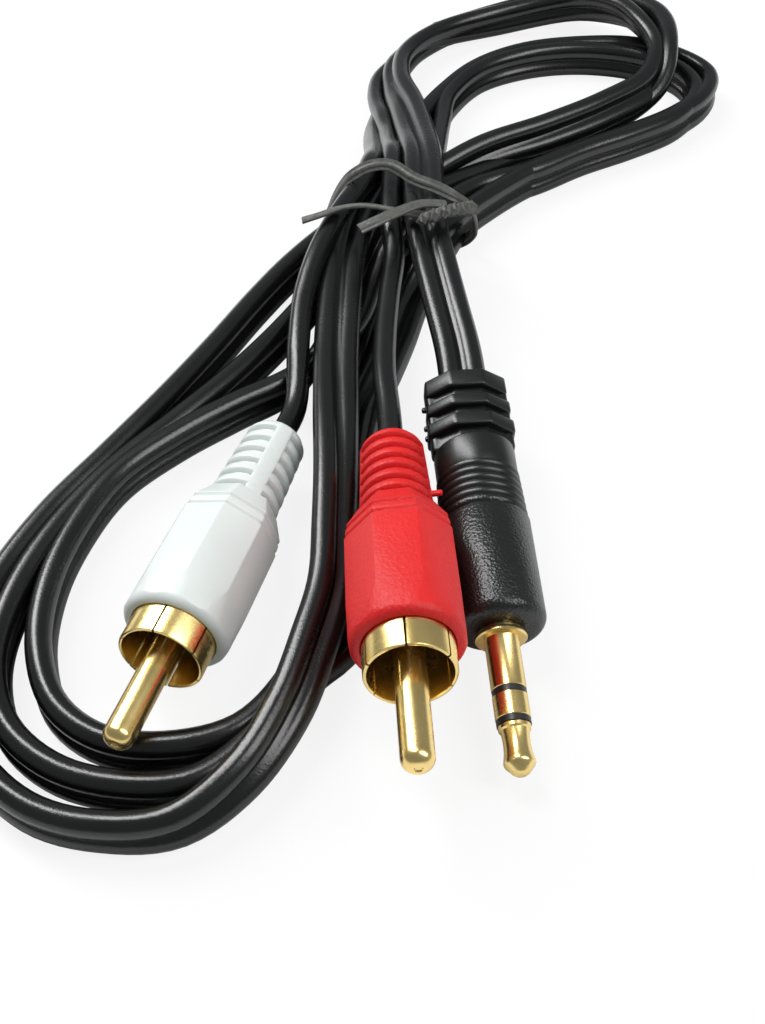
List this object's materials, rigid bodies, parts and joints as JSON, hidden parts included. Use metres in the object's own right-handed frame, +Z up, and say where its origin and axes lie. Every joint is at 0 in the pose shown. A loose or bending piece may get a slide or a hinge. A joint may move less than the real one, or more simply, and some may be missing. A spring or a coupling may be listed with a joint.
{
  "type": "stereo audio cable",
  "caption": "Twin audio cable wound in a tied hank, with a 3.5 mm stereo jack at one end and two phono plugs at the other.",
  "frame": {"origin": "middle of the hank's footprint, on the surface that it lies on", "axes": "+Z up, +Y from the plug tips towards the far loop, +X to the right seen from the plug end"},
  "size_m": [0.0962, 0.158, 0.0178],
  "materials": {
    "red_pvc": "fine grained semi-matt moulded PVC",
    "white_pvc": "smooth slightly bluish white moulded PVC",
    "black_pvc": "black moulded PVC with a leathery grain",
    "cable_pvc": "glossy black extruded PVC",
    "gold_plate": "polished gold plate on brass",
    "dark_nylon": "dark moulded insulator",
    "tie_pvc": "dark grey ribbed plastic ribbon over wire"
  },
  "bodies": {
    "root": {"red_plug_moulding": "red_pvc", "red_plug_shell": "gold_plate", "red_plug_insulator": "dark_nylon", "red_plug_pin": "gold_plate", "white_plug_moulding": "white_pvc", "white_plug_shell": "gold_plate", "white_plug_insulator": "dark_nylon", "white_plug_pin": "gold_plate", "jack_moulding": "black_pvc", "jack_sleeve": "gold_plate", "jack_rear_band": "dark_nylon", "jack_ring": "gold_plate", "jack_front_band": "dark_nylon", "jack_tip": "gold_plate", "jack_core_insulator": "dark_nylon", "cable_hank": "cable_pvc", "jack_lead": "cable_pvc", "white_lead": "cable_pvc", "red_lead": "cable_pvc", "twist_tie": "tie_pvc"}
  },
  "joints": []
}
